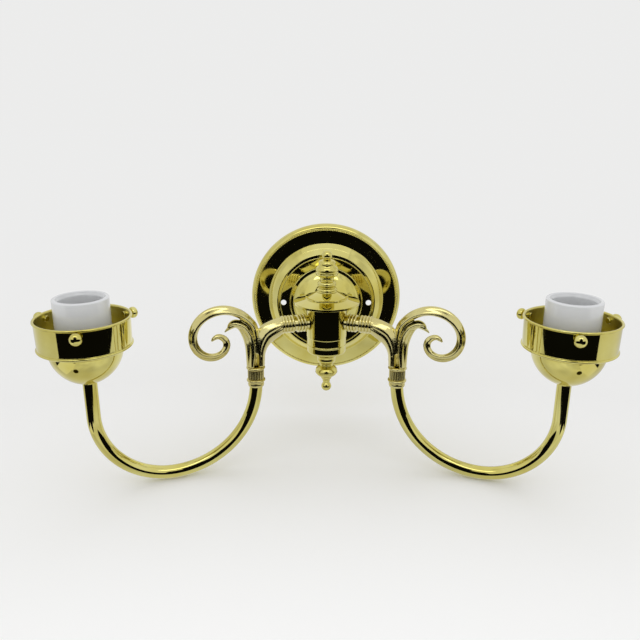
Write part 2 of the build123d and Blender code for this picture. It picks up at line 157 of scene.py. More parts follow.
class SconcePorcelain(bpy.types.PropertyGroup):
    glaze: FloatVectorProperty(
        name="Glaze",
        description="Colour of the white glaze",
        default=(0.70, 0.71, 0.72),
        size=3,
        subtype="COLOR",
        min=0.0,
        max=1.0,
    )
    thread_pitch: FloatProperty(
        name="Thread pitch",
        description="Pitch of the lamp thread in the shells",
        default=3.63 * MM,
        unit="LENGTH",
    )


class SconceStage(bpy.types.PropertyGroup):
    # Painted light: the floor near the camera is painted lighter than the backdrop. This stands in for
    # brighter light there and also lightens the sconce's shade on the floor.
    near_floor_painted_lighter: FloatVectorProperty(
        name="Floor",
        description="Colour of the floor near the sconce",
        default=(0.97, 0.97, 0.97),
        size=3,
        subtype="COLOR",
        min=0.0,
        max=1.0,
    )
    backdrop_colour: FloatVectorProperty(
        name="Backdrop",
        description="Colour of the backdrop and of the floor far off",
        default=(0.84, 0.84, 0.835),
        size=3,
        subtype="COLOR",
        min=0.0,
        max=1.0,
    )
    card_strength: FloatProperty(
        name="Cards",
        description="Brightness of the white cards in reflections",
        default=0.86,
        min=0.0,
        max=2.0,
    )
    strip_strength: FloatProperty(
        name="Strip",
        description="Brightness of the strip above the camera in reflections",
        default=2.5,
        min=0.0,
        max=4.0,
    )


SETTINGS = {
    "sconce_brass": SconceBrass,
    "sconce_plate": SconcePlate,
    "sconce_arm": SconceArm,
    "sconce_porcelain": SconcePorcelain,
    "sconce_stage": SconceStage,
}


# ======== Places ========
def arm_place(side, s=0.0, z=0.0):
    """A frame on an arm: X outwards along it and Z up, s and z millimetres from the hub's middle."""
    lean = radians(ARM_LEAN)
    along = Vector((side * cos(lean), -sin(lean), 0))
    up = Vector((0, 0, 1))
    place = Matrix((along, up.cross(along), up)).transposed().to_4x4()
    place.translation = Vector((0, -HUB_OUT * MM, 0)) + along * s * MM + up * z * MM
    return place


def collar_place(side):
    """A frame whose Z runs out along an arm's collar."""
    return arm_place(side, 0, ARM_Z) @ Matrix.Rotation(pi / 2, 4, "Y")


def third(side, first, turn):
    """A turn about a cup's axis from the first place on by thirds, mirrored on the left."""
    return Matrix.Rotation(side * radians(first + 120 * turn), 4, "Z")


HUB_PLACE = Matrix.Translation((0, -HUB_OUT * MM, 0))
WALL_PLACE = Matrix.Rotation(pi / 2, 4, "X")


# ======== Mesh helpers ========
ARC_STEP = 0.12  # radians along a bowed line
HOLD_OVER = 1.2  # millimetres; a longer straight line off the axis gets a point near each end
HOLD_STEP = 0.25
SEAM = 1e-6  # metres; points closer than this are one


def bowed(points):
    """Fine points, in metres, through (radius, height[, bow to the left]) points in millimetres."""
    fine = [Vector(points[0][:2])]
    for start, end in zip(points, points[1:]):
        a, b = Vector(start[:2]), Vector(end[:2])
        chord = b - a
        bow = end[2] if len(end) == 3 else 0
        if bow:
            half = chord.length / 2
            radius = (half * half + bow * bow) / (2 * abs(bow))
            spread = 2 * atan2(abs(bow), half)
            steps = max(4, round(2 * spread / ARC_STEP))
            along = chord.normalized()
            left = Vector((-along.y, along.x)) * (1 if bow > 0 else -1)
            middle = (a + b) / 2 - left * radius * cos(spread)
            for step in range(1, steps):
                angle = -spread + 2 * spread * step / steps
                fine.append(middle + along * radius * sin(angle) + left * radius * cos(angle))
        elif chord.length > HOLD_OVER and max(a.x, b.x) > 0:
            hold = chord.normalized() * HOLD_STEP
            fine += [a + hold, b - hold]
        fine.append(b)
    return [point * MM for point in fine]


def turned(bm, points, steps, place):
    """A turned form: the closed outline is spun about Z, then placed."""
    old = set(bm.verts)
    fine = bowed(points + [points[0][:2]])[:-1]
    verts = [bm.verts.new((point.x, 0, point.y)) for point in fine]
    pairs = [(a, b) for a, b in zip(verts, verts[1:] + verts[:1]) if max(a.co.x, b.co.x) > SEAM]
    edges = [bm.edges.new(pair) for pair in pairs]
    bmesh.ops.spin(
        bm, geom=verts + edges, cent=(0, 0, 0), axis=(0, 0, 1), angle=tau, steps=steps, use_merge=True
    )
    put(bm, old, place)


def put(bm, old, place):
    """Closes the seams and poles of what is new in the mesh, and moves it to its place."""
    bmesh.ops.remove_doubles(bm, verts=[v for v in bm.verts if v not in old], dist=SEAM)
    bmesh.ops.transform(bm, matrix=place, verts=[v for v in bm.verts if v not in old])


def repeated(bm, start, count, axis=(0, 0, 1)):
    """Repeats what is new in the mesh round the axis, to that many in all."""
    new = [v for v in bm.verts if v not in start]
    faces = list({f for v in new for f in v.link_faces})
    edges = list({e for v in new for e in v.link_edges})
    bmesh.ops.spin(
        bm,
        geom=new + edges + faces,
        cent=(0, 0, 0),
        axis=axis,
        angle=tau * (count - 1) / count,
        steps=count - 1,
        use_duplicate=True,
    )


def cast_bar(bm, places, segments, shape):
    """A closed bar: a unit circle, given its shape by angle, extruded from place to place."""
    verts = bmesh.ops.create_circle(bm, cap_ends=True, segments=segments, radius=1)["verts"]
    for v in verts:
        v.co *= shape(degrees(atan2(v.co.y, v.co.x)))
    bmesh.ops.transform(bm, matrix=places[0], verts=verts)
    edges = list({e for v in verts for e in v.link_edges})
    for before, after in zip(places, places[1:]):
        grown = bmesh.ops.extrude_edge_only(bm, edges=edges)["geom"]
        verts = [g for g in grown if isinstance(g, bmesh.types.BMVert)]
        fresh = set(verts)
        edges = [g for g in grown if isinstance(g, bmesh.types.BMEdge) and set(g.verts) <= fresh]
        bmesh.ops.transform(bm, matrix=after @ before.inverted(), verts=verts)
    bmesh.ops.contextual_create(bm, geom=edges)


def rod(bm, radius, depth, place, segments=40):
    """A closed cylinder about the middle of its place."""
    bmesh.ops.create_cone(
        bm,
        cap_ends=True,
        segments=segments,
        radius1=radius,
        radius2=radius,
        depth=depth,
        matrix=place,
    )


def piece(name, bm, material, nodes, body=BODY, sharp=SHARP, outward=True):
    """Makes the mesh an object that stands for the CAD nodes and rides on their body."""
    if outward:
        bmesh.ops.recalc_face_normals(bm, faces=bm.faces)
    mesh = bpy.data.meshes.new(name)
    bm.to_mesh(mesh)
    bm.free()
    made = bpy.data.objects.new(name, mesh)
    bpy.context.collection.objects.link(made)
    mesh.materials.append(material)
    mesh.shade_smooth()
    mesh.set_sharp_from_angle(angle=radians(sharp))
    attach(made, body)
    if nodes:
        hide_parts(*nodes)
    return made


def settle(made, sharp=None):
    """Applies the modifiers of a piece to its mesh."""
    depsgraph = bpy.context.evaluated_depsgraph_get()
    mesh = bpy.data.meshes.new_from_object(made.evaluated_get(depsgraph), depsgraph=depsgraph)
    made.modifiers.clear()
    made.data = mesh
    mesh.shade_smooth()
    if sharp:
        mesh.set_sharp_from_angle(angle=radians(sharp))


def drilled(made, cutters):
    """Cuts the drills out of a piece."""
    mesh = bpy.data.meshes.new(made.name + "_drill")
    bmesh.ops.recalc_face_normals(cutters, faces=cutters.faces)
    cutters.to_mesh(mesh)
    cutters.free()
    drill = bpy.data.objects.new(mesh.name, mesh)
    bpy.context.collection.objects.link(drill)
    cut = made.modifiers.new("Drill", "BOOLEAN")
    cut.operation = "DIFFERENCE"
    cut.solver = "EXACT"
    cut.object = drill
    settle(made, SHARP)
    bpy.data.objects.remove(drill)
    bpy.data.meshes.remove(mesh)


# ======== Materials ========
GLAZE_SHADE = 0.95  # the darker parts of the glaze, as a share of its colour
ZINC_TONES = (0.52, 0.52, 0.50), (0.66, 0.66, 0.63)
ALUMINIUM_TONES = (0.62, 0.62, 0.61), (0.80, 0.80, 0.79)
PLAIN_BRASS_TONES = (0.60, 0.45, 0.16), (0.74, 0.58, 0.24)


def nodes_of(name):
    """A new material, its node tree and its shader."""
    material = bpy.data.materials.new(name)
    material.use_nodes = True
    tree = material.node_tree
    return material, tree, tree.nodes["Principled BSDF"]


def noise(tree, scale, detail, stretch=(1, 1, 1)):
    """A noise on Object coordinates."""
    where = tree.nodes.new("ShaderNodeTexCoord")
    mapping = tree.nodes.new("ShaderNodeMapping")
    mapping.inputs["Scale"].default_value = stretch
    pattern = tree.nodes.new("ShaderNodeTexNoise")
    pattern.inputs["Scale"].default_value = scale
    pattern.inputs["Detail"].default_value = detail
    tree.links.new(where.outputs["Object"], mapping.inputs["Vector"])
    tree.links.new(mapping.outputs["Vector"], pattern.inputs["Vector"])
    return pattern.outputs["Fac"]


def ranged(tree, value, low, high, start=0.3, end=0.7):
    """A value spread between low and high."""
    spread = tree.nodes.new("ShaderNodeMapRange")
    spread.inputs["From Min"].default_value = start
    spread.inputs["From Max"].default_value = end
    spread.inputs["To Min"].default_value = low
    spread.inputs["To Max"].default_value = high
    tree.links.new(value, spread.inputs["Value"])
    return spread.outputs["Result"]


def mixed(tree, share, first, second):
    """A colour between two, by a share."""
    mix = tree.nodes.new("ShaderNodeMix")
    mix.data_type = "RGBA"
    mix.inputs["A"].default_value = (*first, 1)
    mix.inputs["B"].default_value = (*second, 1)
    tree.links.new(share, mix.inputs["Factor"])
    return mix.outputs["Result"]


def bumped(tree, shader, height, depth):
    """Fine relief of that depth in metres."""
    bump = tree.nodes.new("ShaderNodeBump")
    bump.inputs["Strength"].default_value = 1.0
    bump.inputs["Distance"].default_value = depth
    tree.links.new(height, bump.inputs["Height"])
    tree.links.new(bump.outputs["Normal"], shader.inputs["Normal"])


def brass(name, wave, depth, smudge, pale=0.0, rough=0.0):
    """Polished, lacquered brass with faint waves from the polishing wheel and a few dull smudges.

    wave and depth set the waves, smudge the roughness that the smudges add. pale adds blue, which
    makes the metal whiter, and rough dulls all of it.
    """
    settings = bpy.context.scene.sconce_brass
    material, tree, shader = nodes_of(name)
    shader.inputs["Metallic"].default_value = 1.0
    shader.inputs["Coat Weight"].default_value = 0.25
    shader.inputs["Coat Roughness"].default_value = 0.03
    tint = ranged(tree, noise(tree, scale=34, detail=3), low=0, high=1)
    tones = [(*tone[:2], tone[2] + pale) for tone in (settings.colour, settings.deep_colour)]
    tree.links.new(mixed(tree, tint, *tones), shader.inputs["Base Color"])
    least = settings.roughness + rough
    cloud = noise(tree, scale=95, detail=4)
    dull = ranged(tree, cloud, least, least + smudge, start=0.45, end=0.8)
    tree.links.new(dull, shader.inputs["Roughness"])
    bumped(tree, shader, noise(tree, scale=wave, detail=1), depth)
    return material


def steel():
    """Bright zinc plate with a faint cloudy grain."""
    material, tree, shader = nodes_of("zinc_plate")
    shader.inputs["Metallic"].default_value = 1.0
    cloud = ranged(tree, noise(tree, scale=240, detail=4), low=0, high=1)
    tree.links.new(mixed(tree, cloud, *ZINC_TONES), shader.inputs["Base Color"])
    dull = ranged(tree, noise(tree, scale=700, detail=3), low=0.24, high=0.42)
    tree.links.new(dull, shader.inputs["Roughness"])
    bumped(tree, shader, noise(tree, scale=2600, detail=2), depth=0.02 * MM)
    return material


def porcelain():
    """White glaze, a little uneven, with fine specks."""
    settings = bpy.context.scene.sconce_porcelain
    material, tree, shader = nodes_of("white_glaze")
    shader.inputs["IOR"].default_value = 1.52
    shader.inputs["Coat Weight"].default_value = 0.6
    shader.inputs["Coat Roughness"].default_value = 0.05
    glaze = settings.glaze
    darker = [part * GLAZE_SHADE for part in glaze]
    shade = ranged(tree, noise(tree, scale=60, detail=3), low=0, high=1)
    tree.links.new(mixed(tree, shade, glaze, darker), shader.inputs["Base Color"])
    dull = ranged(tree, noise(tree, scale=300, detail=2), low=0.16, high=0.26)
    tree.links.new(dull, shader.inputs["Roughness"])
    bumped(tree, shader, noise(tree, scale=420, detail=3), depth=0.06 * MM)
    return material


def shell_metal():
    """Thin pressed aluminium with drawing marks."""
    material, tree, shader = nodes_of("pressed_aluminium")
    shader.inputs["Metallic"].default_value = 1.0
    marks = noise(tree, scale=400, detail=3, stretch=(1, 1, 6))
    tree.links.new(mixed(tree, marks, *ALUMINIUM_TONES), shader.inputs["Base Color"])
    tree.links.new(ranged(tree, marks, low=0.18, high=0.34), shader.inputs["Roughness"])
    return material


def contact_metal():
    """Plain rolled brass, a little dull."""
    material, tree, shader = nodes_of("plain_brass")
    shader.inputs["Metallic"].default_value = 1.0
    marks = noise(tree, scale=500, detail=3)
    tree.links.new(mixed(tree, marks, *PLAIN_BRASS_TONES), shader.inputs["Base Color"])
    tree.links.new(ranged(tree, marks, low=0.22, high=0.4), shader.inputs["Roughness"])
    return material


def finish(name):
    """The finish of that name, made once."""
    known = bpy.data.materials.get(name)
    if known:
        return known
    brasses = {
        "spun_brass": {"wave": 28, "depth": 0.04 * MM, "smudge": 0.05},
        "cast_brass": {"wave": 120, "depth": 0.06 * MM, "smudge": 0.06, "pale": 0.08, "rough": 0.10},
        "inner_brass": {"wave": 60, "depth": 0.04 * MM, "smudge": 0.06, "rough": 0.26},
        "drawn_brass": {"wave": 22, "depth": 0.03 * MM, "smudge": 0.05},
    }
    if name in brasses:
        return brass(name, **brasses[name])
    makers = {
        "zinc_plate": steel,
        "white_glaze": porcelain,
        "pressed_aluminium": shell_metal,
        "plain_brass": contact_metal,
    }
    return makers[name]()


# ======== Pieces ========
# An outline's points are (radius, height[, bow to the left of the side that ends there]), in
# millimetres. The last point is joined to the first.
DRILL_DEPTH = 6.0
PLATE_HOLE_R = 2.25
PLATE_HOLE_OUT = 18.2  # from the wall, as BEAD_OUT is
BEAD_R = 0.74
BEAD_OUT = 8.0
BEAD_SHARP = 60  # degrees
PLATE_OUTLINE = [
    (62.5, 0.25),
    (62.5, 2.6),
    (62.2, 3.2, -0.08),
    (59.5, 6.9, -0.8),
    (58.9, 7.35, 0.1),
    (58.3, 8.2, -0.1),
    (57.9, 8.45, 0.05),
    (47.7, 10.1),
    (47.3, 10.4, 0.05),
    (46.9, 10.8, -0.04),
    (44.25, 14.45),
    (43.85, 14.8, 0.04),
    (40.5, 18.2),
    (40.0, 18.5, -0.08),
    (39.4, 18.6, -0.04),
    (37.9, 18.62),
    (37.5, 18.8, -0.05),
    (37.1, 18.62, -0.05),
    (29.9, 18.62),
    (29.4, 18.85, 0.03),
    (29.1, 18.9, -0.02),
    (27.1, 19.3),
    (26.7, 19.6, 0.06),
    (13.0, 26.8, -1.0),
    (12.5, 27.0, 0.05),
    (9.8, 28.0, 0.2),
    (5.15, 28.0),
    (5.15, 27.1),
    (9.2, 27.1),
    (12.3, 26.0, -0.15),
    (26.4, 18.4, 1.0),
    (39.6, 17.7),
    (47.2, 9.5),
    (56.9, 7.2),
    (58.6, 6.6),
    (61.6, 2.9, 0.8),
    (61.6, 0),
    (62.25, 0),
]


class SCONCE_OT_backplate(bpy.types.Operator):
    """Makes the stamped plate with its ring of fine beads"""

    bl_idname = "sconce.backplate"
    bl_label = "Backplate"

    def execute(self, context):
        settings = context.scene.sconce_plate
        bm = bmesh.new()
        turned(bm, PLATE_OUTLINE, steps=160, place=WALL_PLACE)
        plate = piece("plate_face", bm, finish("spun_brass"), ["backplate"])
        holes = bmesh.new()
        for side in SIDES.values():
            across = side * settings.screw_spacing / 2
            at_hole = WALL_PLACE @ Matrix.Translation((across, 0, PLATE_HOLE_OUT * MM))
            rod(holes, PLATE_HOLE_R * MM, DRILL_DEPTH * MM, at_hole)
        drilled(plate, holes)
        beads = bmesh.new()
        start = WALL_PLACE @ Matrix.Translation((settings.bead_ring, 0, BEAD_OUT * MM))
        bmesh.ops.create_uvsphere(beads, u_segments=8, v_segments=5, radius=BEAD_R * MM, matrix=start)
        repeated(beads, set(), settings.bead_count, axis=(0, 1, 0))
        piece("plate_beads", beads, finish("spun_brass"), [], sharp=BEAD_SHARP)
        return {"FINISHED"}


STEM_OUTLINE = [
    (5.15, 28.02),
    (9.5, 28.02),
    (9.8, 28.3, -0.1),
    (9.8, 29.5),
    (7.7, 31.1, 0.5),
    (7.6, 41.9),
    (7.6, 46.3, -1.6),
    (7.6, 61.2),
    (5.15, 61.2),
]


class SCONCE_OT_stem(bpy.types.Operator):
    """Makes the turned stem between the plate and the hub"""

    bl_idname = "sconce.stem"
    bl_label = "Stem"

    def execute(self, context):
        bm = bmesh.new()
        turned(bm, STEM_OUTLINE, steps=72, place=WALL_PLACE)
        piece("stem_turning", bm, finish("spun_brass"), ["stem"])
        return {"FINISHED"}


# The hub's turned pieces: node, outline, steps round
HUB_TURNINGS = [
    (
        "hub_body",
        [
            (2.25, -21.6),
            (12.8, -21.6),
            (14.4, -20.0, -0.45),
            (14.4, -16.3),
            (14.55, -16.15, -0.03),
            (14.9, -15.5, -0.12),
            (14.55, -14.85, -0.12),
            (14.4, -14.7, 0.03),
            (14.5, -9.4),
            (14.8, -9.0, 0.04),
            (14.8, 19.7),
            (14.6, 19.9, -0.04),
            (13.3, 19.9),
            (13.3, -20.1),
            (2.25, -20.1),
        ],
        112,
    ),
    (
        "hub_cap",
        [
            (24.0, 15.9),
            (24.0, 17.1),
            (23.7, 17.45, -0.08),
            (15.9, 19.9),
            (15.75, 20.1, 0.04),
            (15.75, 20.6),
            (15.55, 20.82, -0.04),
            (14.2, 20.85),
            (13.9, 20.95, 0.03),
            (7.8, 24.35),
            (7.4, 24.45, -0.05),
            (2.25, 24.45),
            (2.25, 23.6),
            (7.3, 23.6),
            (13.9, 20.0),
            (15.0, 20.0),
            (15.0, 19.2),
            (23.2, 16.6),
            (23.2, 15.7),
            (23.8, 15.7),
        ],
        128,
    ),
    (
        "bottom_check_ring",
        [
            (2.25, -24.8),
            (7.1, -24.8),
            (7.3, -24.6, 0.04),
            (7.3, -23.2, 0.3),
            (9.0, -22.6, 0.3),
            (9.0, -21.62, 0.3),
            (2.25, -21.62),
        ],
        72,
    ),
    (
        "top_finial",
        [
            (2.14, 24.47),
            (7.2, 24.47),
            (7.45, 24.7, 0.06),
            (7.45, 26.2, 0.45),
            (5.7, 27.5, -0.4),
            (5.6, 27.9, -0.05),
            (6.8, 29.6, -0.2),
            (6.8, 30.8, 0.5),
            (4.6, 32.4, -0.5),
            (4.5, 32.9, -0.05),
            (5.1, 35.4, -0.3),
            (8.2, 38.9, -0.9),
            (8.2, 40.3, 0.5),
            (6.7, 43.3, -0.5),
            (6.3, 45.8, 0.4),
            (4.3, 47.8, -0.4),
            (2.7, 48.4, -0.1),
            (2.65, 48.52),
            (3.7, 51.1, -0.28),
            (0, 54.8, -1.08),
            (0, 32.4),
            (2.14, 32.4),
        ],
        72,
    ),
    (
        "bottom_finial",
        [
            (2.14, -24.82),
            (7.2, -24.82),
            (6.9, -27.8, -0.3),
            (5.2, -30.4, 0.4),
            (5.2, -31.8, -0.4),
            (4.7, -33.2, 0.2),
            (8.3, -36.8, 0.8),
            (8.3, -38.0, -0.4),
            (4.35, -41.2, 0.8),
            (2.95, -44.2, 0.4),
            (2.5, -46.78, 0.1),
            (3.85, -49.7, 0.3),
            (0, -53.55, 1.13),
            (0, -32.8),
            (2.14, -32.8),
        ],
        72,
    ),
]


class SCONCE_OT_hub(bpy.types.Operator):
    """Makes the hub's body, its lid, its check ring and both finials"""

    bl_idname = "sconce.hub"
    bl_label = "Hub"

    def execute(self, context):
        for name, outline, steps in HUB_TURNINGS:
            bm = bmesh.new()
            turned(bm, outline, steps, HUB_PLACE)
            piece(name + "_turning", bm, finish("spun_brass"), [name])
        return {"FINISHED"}


# ---- Casting ----
# Stations along a cast bar, in millimetres: s, z, half width in the arm's plane, half depth across
# it[, lean of the front ridge]
BRANCH = [
    (30.0, ARM_Z, 5.8, 5.8),
    (34.6, ARM_Z - 0.4, 6.1, 6.0),
    (39.8, ARM_Z - 2.6, 7.0, 6.2),
    (45.8, ARM_Z - 6.3, 7.3, 6.1),
    (49.4, FERRULE_TOP + 16.5, 5.6, 5.9),
    (50.8, FERRULE_TOP + 9.5, 4.1, 5.8),
    (51.0, FERRULE_TOP + 3.0, 3.7, 5.8),
    (51.0, FERRULE_TOP, 3.7, 5.8),
]
LEAF = [
    (57.3, FERRULE_TOP, 3.5, 5.8, 0.0),
    (57.3, FERRULE_TOP + 3.0, 3.6, 5.8, 0.0),
    (56.9, FERRULE_TOP + 9.5, 4.2, 5.7, 0.1),
    (57.5, FERRULE_TOP + 16.5, 4.0, 5.5, 0.3),
    (59.4, -3.8, 3.6, 5.2, 0.5),
    (62.4, 2.4, 3.4, 4.8, 0.4),
    (65.2, 5.3, 3.2, 4.3, 0.2),
    (67.8, 6.7, 2.8, 3.7, 0.0),
    (70.4, 6.5, 2.1, 2.7, 0.0),
    (72.4, 5.0, 1.4, 1.6, 0.0),
    (73.4, 3.6, 0.5, 0.6, 0.0),
]
BEAK = [
    (64.5, 3.4, 1.3, 3.2),
    (67.8, 5.0, 1.8, 2.9),
    (70.6, 4.4, 1.8, 2.2),
    (73.2, 2.8, 1.3, 1.4),
    (75.9, 0.6, 0.5, 0.5),
]
SCROLL_ROOT = [
    (53.8, FERRULE_TOP + 10.0, 2.0, 4.4, 0.0),
    (53.6, FERRULE_TOP + 19.0, 2.6, 4.3, 0.0),
]
SCROLL_HOOK = [
    (78.7, -2.5, 2.2, 1.8, 0.0),
    (81.2, -2.2, 2.0, 2.0, 0.0),
    (83.8, -3.6, 1.5, 1.5, 0.0),
    (85.2, -5.3, 0.6, 0.6, 0.0),
]
SCROLL_S = 81.3  # the spiral's centre
SCROLL_Z = -5.8
SCROLL_START = 163.4  # degrees
SCROLL_SWEEP = 365
SCROLL_STEPS = 24
SCROLL_R = 27.6
SCROLL_CLOSING = 4.25  # millimetres a radian
SCROLL_EASING = 0.112
SCROLL_HALF = 3.1  # half width at the start, which swells and then tapers along the scroll
SCROLL_SWELL = 1.0
SCROLL_TAPER = 1.65
ROOT_SHARE = 0.25  # the share of the scroll over which its root is deeper
ROOT_DEPTH = 0.9
FLAT_FROM = 0.7  # the scroll flattens from this share to FLAT_FROM + FLAT_OVER
FLAT_OVER = 0.15
FLATTENED = 1.1
SCROLL_LEAN = 0.6  # the front ridge leans by a wave of this height
LEAN_WAVES = 7.0


def spiral():
    """The scroll's stations, from the branch round to the hook."""
    stations = []
    for step in range(SCROLL_STEPS + 1):
        share = step / SCROLL_STEPS
        turn = radians(SCROLL_SWEEP) * share
        radius = SCROLL_R - SCROLL_CLOSING * turn + SCROLL_EASING * turn**2
        angle = radians(SCROLL_START) - turn
        s, z = SCROLL_S + radius * cos(angle), SCROLL_Z + radius * sin(angle)
        half = SCROLL_HALF + SCROLL_SWELL * share - SCROLL_TAPER * share**2
        root = max(0, 1 - share / ROOT_SHARE)
        flat = min(1, max(0, (share - FLAT_FROM) / FLAT_OVER))
        depth = half + ROOT_DEPTH * root - FLATTENED * flat
        lean = -SCROLL_LEAN * sin(LEAN_WAVES * share) ** 2
        stations.append((s, z, half, depth, lean))
    return stations


SPAN_STEPS = 5


def eased(stations):
    """Stations on a smooth curve, a Catmull-Rom spline, through those given."""
    fine = []
    last = len(stations) - 1
    for i in range(last):
        p0, p1, p2, p3 = (Vector(stations[min(max(k, 0), last)]) for k in (i - 1, i, i + 1, i + 2))
        for step in range(SPAN_STEPS):
            t = step / SPAN_STEPS
            fine.append(
                0.5
                * (2 * p1 + (p2 - p0) * t + (2 * p0 - 5 * p1 + 4 * p2 - p3) * t**2)
                + 0.5 * (3 * p1 - p0 - 3 * p2 + p3) * t**3
            )
    return fine + [Vector(stations[-1])]


RIDGE = 0.2  # how far a section draws in between its ridges
SOFT_RIDGE = 0.12
GROOVE = 0.17
GROOVE_HALF = 17  # degrees


def ridged(angle):
    """The radius of a bar's section at an angle in degrees, with a ridge on each side."""
    return 1 - RIDGE * sin(2 * radians(angle)) ** 2


def grooved(angle):
    """A rounder section with a groove down its front and its back."""
    groove = max(0, 1 - abs(abs(angle) - 90) / GROOVE_HALF)
    return 1 - SOFT_RIDGE * sin(2 * radians(angle)) ** 2 - GROOVE * groove


def bar_places(stations, place, side):
    """A frame for each section of a cast bar, square to its line, its front ridge leant outwards."""
    places = []
    for i, (s, z, half_width, half_depth, *lean) in enumerate(stations):
        before, after = stations[max(i - 1, 0)], stations[min(i + 1, len(stations) - 1)]
        heading = atan2(after[1] - before[1], after[0] - before[0])
        x_axis = Vector((-sin(heading), 0, cos(heading))) * half_width
        z_axis = Vector((cos(heading), 0, sin(heading)))
        y_axis = Vector((0, half_depth, 0)) - side * sum(lean) * x_axis
        local = Matrix((x_axis, y_axis, z_axis)).transposed().to_4x4()
        local.translation = Vector((s, 0, z))
        places.append(place @ Matrix.Scale(MM, 4) @ local)
    return places


# The core joins the branch to its collar
CORE_OUTLINE = [(0, 27.0), (5.8, 27.0), (5.8, 34.0), (0, 34.0)]
COLLAR_BORE = 4.1
COLLAR_R = 5.4
COLLAR_START = 14.6
COLLAR_END = 36.2
RIB_PITCH = 2.35
RIB_RISE = 1.1
RIB_GROUPS = [(16.4, 3), (25.3, 4)]  # where each group of ribs starts, and its ribs


def collar_outline():
    """The sleeve of the collar with its two groups of round ribs."""
    outline = [(COLLAR_BORE, COLLAR_START), (COLLAR_R, COLLAR_START)]
    for start, ribs in RIB_GROUPS:
        outline.append((COLLAR_R, start))
        for rib in range(ribs):
            outline.append((COLLAR_R, start + (rib + 1) * RIB_PITCH, -RIB_RISE))
    return outline + [(COLLAR_R, COLLAR_END), (COLLAR_BORE, COLLAR_END)]


BAR_SIDES = 40
BRANCH_SIDES = 72
POLISH_SHARE = 0.6  # how far each pass of the smoothing goes
POLISH_PASSES = 9


class SCONCE_OT_castings(bpy.types.Operator):
    """Makes both castings: ribbed collar, branch, leaf and scroll"""

    bl_idname = "sconce.castings"
    bl_label = "Castings"

    def execute(self, context):
        for side_name, side in SIDES.items():
            place = arm_place(side)
            bm = bmesh.new()
            for stations in (LEAF, BEAK, SCROLL_ROOT + spiral() + SCROLL_HOOK):
                cast_bar(bm, bar_places(eased(stations), place, side), BAR_SIDES, ridged)
            cast_bar(bm, bar_places(eased(BRANCH), place, side), BRANCH_SIDES, grooved)
            turned(bm, CORE_OUTLINE, steps=48, place=collar_place(side))
            casting = piece(
                "casting_" + side_name,
                bm,
                finish("cast_brass"),
                ["arm_casting_" + side_name],
            )
            remesh = casting.modifiers.new("Cast", "REMESH")
            remesh.mode = "VOXEL"
            remesh.voxel_size = context.scene.sconce_arm.voxel
            smooth = casting.modifiers.new("Polish", "SMOOTH")
            smooth.factor = POLISH_SHARE
            smooth.iterations = POLISH_PASSES
            settle(casting)
            ribs = bmesh.new()
            turned(ribs, collar_outline(), steps=72, place=collar_place(side))
            piece("collar_" + side_name, ribs, finish("cast_brass"), [])
        return {"FINISHED"}


DRUM_R = 5.2
REED_R = 0.8
REED_H = 6.6
REED_MIDDLE = 9.4
FERRULE_OUTLINE = [
    (4.85, 0.0),
    (5.4, 0.0),
    (5.7, 0.3, -0.08),
    (5.75, 2.7, -0.25),
    (5.7, 3.3, 0.15),
    (5.9, 3.6, 0.05),
    (5.9, 5.7, -0.95),
    (DRUM_R, 6.1, 0.1),
    (DRUM_R, 12.7),
    (5.9, 13.1, 0.05),
    (5.9, 15.3, -0.95),
    (4.85, FERRULE_H),
]


class SCONCE_OT_ferrules(bpy.types.Operator):
    """Makes the ringed and reeded ferrule under each casting"""

    bl_idname = "sconce.ferrules"
    bl_label = "Ferrules"

    def execute(self, context):
        count = context.scene.sconce_arm.reed_count
        for side_name, side in SIDES.items():
            place = arm_place(side, LEG_S, FERRULE_TOP - FERRULE_H)
            bm = bmesh.new()
            turned(bm, FERRULE_OUTLINE, steps=72, place=place)
            old = set(bm.verts)
            at_reed = Matrix.Translation((DRUM_R * MM, 0, REED_MIDDLE * MM))
            rod(bm, REED_R * MM, REED_H * MM, at_reed, segments=12)
            repeated(bm, old, count)
            put(bm, old, place)
            piece(
                "ferrule_turning_" + side_name,
                bm,
                finish("cast_brass"),
                ["arm_ferrule_" + side_name],
            )
        return {"FINISHED"}


TUBE_WALL = 1.0
TUBE_SIDES = 40
INNER_BEND = 62.8
LEG_BEND_Z = -39.5
TUBE_END = -12.6


class SCONCE_OT_tubes(bpy.types.Operator):
    """Makes the two bent tubes"""

    bl_idname = "sconce.tubes"
    bl_label = "Bent tubes"

    def execute(self, context):
        radius = context.scene.sconce_arm.tube_radius
        outer_bend = CUP_S - LEG_S - INNER_BEND
        low_z = LEG_BEND_Z - INNER_BEND
        for side_name, side in SIDES.items():
            bm = bmesh.new()
            place = Matrix.Translation((LEG_S * MM, 0, FERRULE_TOP * MM))
            outer = bmesh.ops.create_circle(bm, segments=TUBE_SIDES, radius=radius, matrix=place)
            bore_r = radius - TUBE_WALL * MM
            inner = bmesh.ops.create_circle(bm, segments=TUBE_SIDES, radius=bore_r, matrix=place)
            edges = list({e for v in outer["verts"] + inner["verts"] for e in v.link_edges})
            faces = bmesh.ops.bridge_loops(bm, edges=edges)["faces"]
            faces = drawn(bm, faces, LEG_BEND_Z - FERRULE_TOP)
            faces = bent(bm, faces, centre=(LEG_S + INNER_BEND, LEG_BEND_Z), steps=64)
            faces = bent(bm, faces, centre=(CUP_S - outer_bend, low_z + outer_bend), steps=56)
            drawn(bm, faces, TUBE_END - low_z - outer_bend)
            bmesh.ops.delete(bm, geom=faces, context="FACES")
            bmesh.ops.transform(bm, matrix=arm_place(side), verts=bm.verts)
            bmesh.ops.remove_doubles(bm, verts=bm.verts, dist=SEAM)
            piece(
                "bent_tube_" + side_name,
                bm,
                finish("drawn_brass"),
                ["arm_tube_" + side_name],
            )
        return {"FINISHED"}


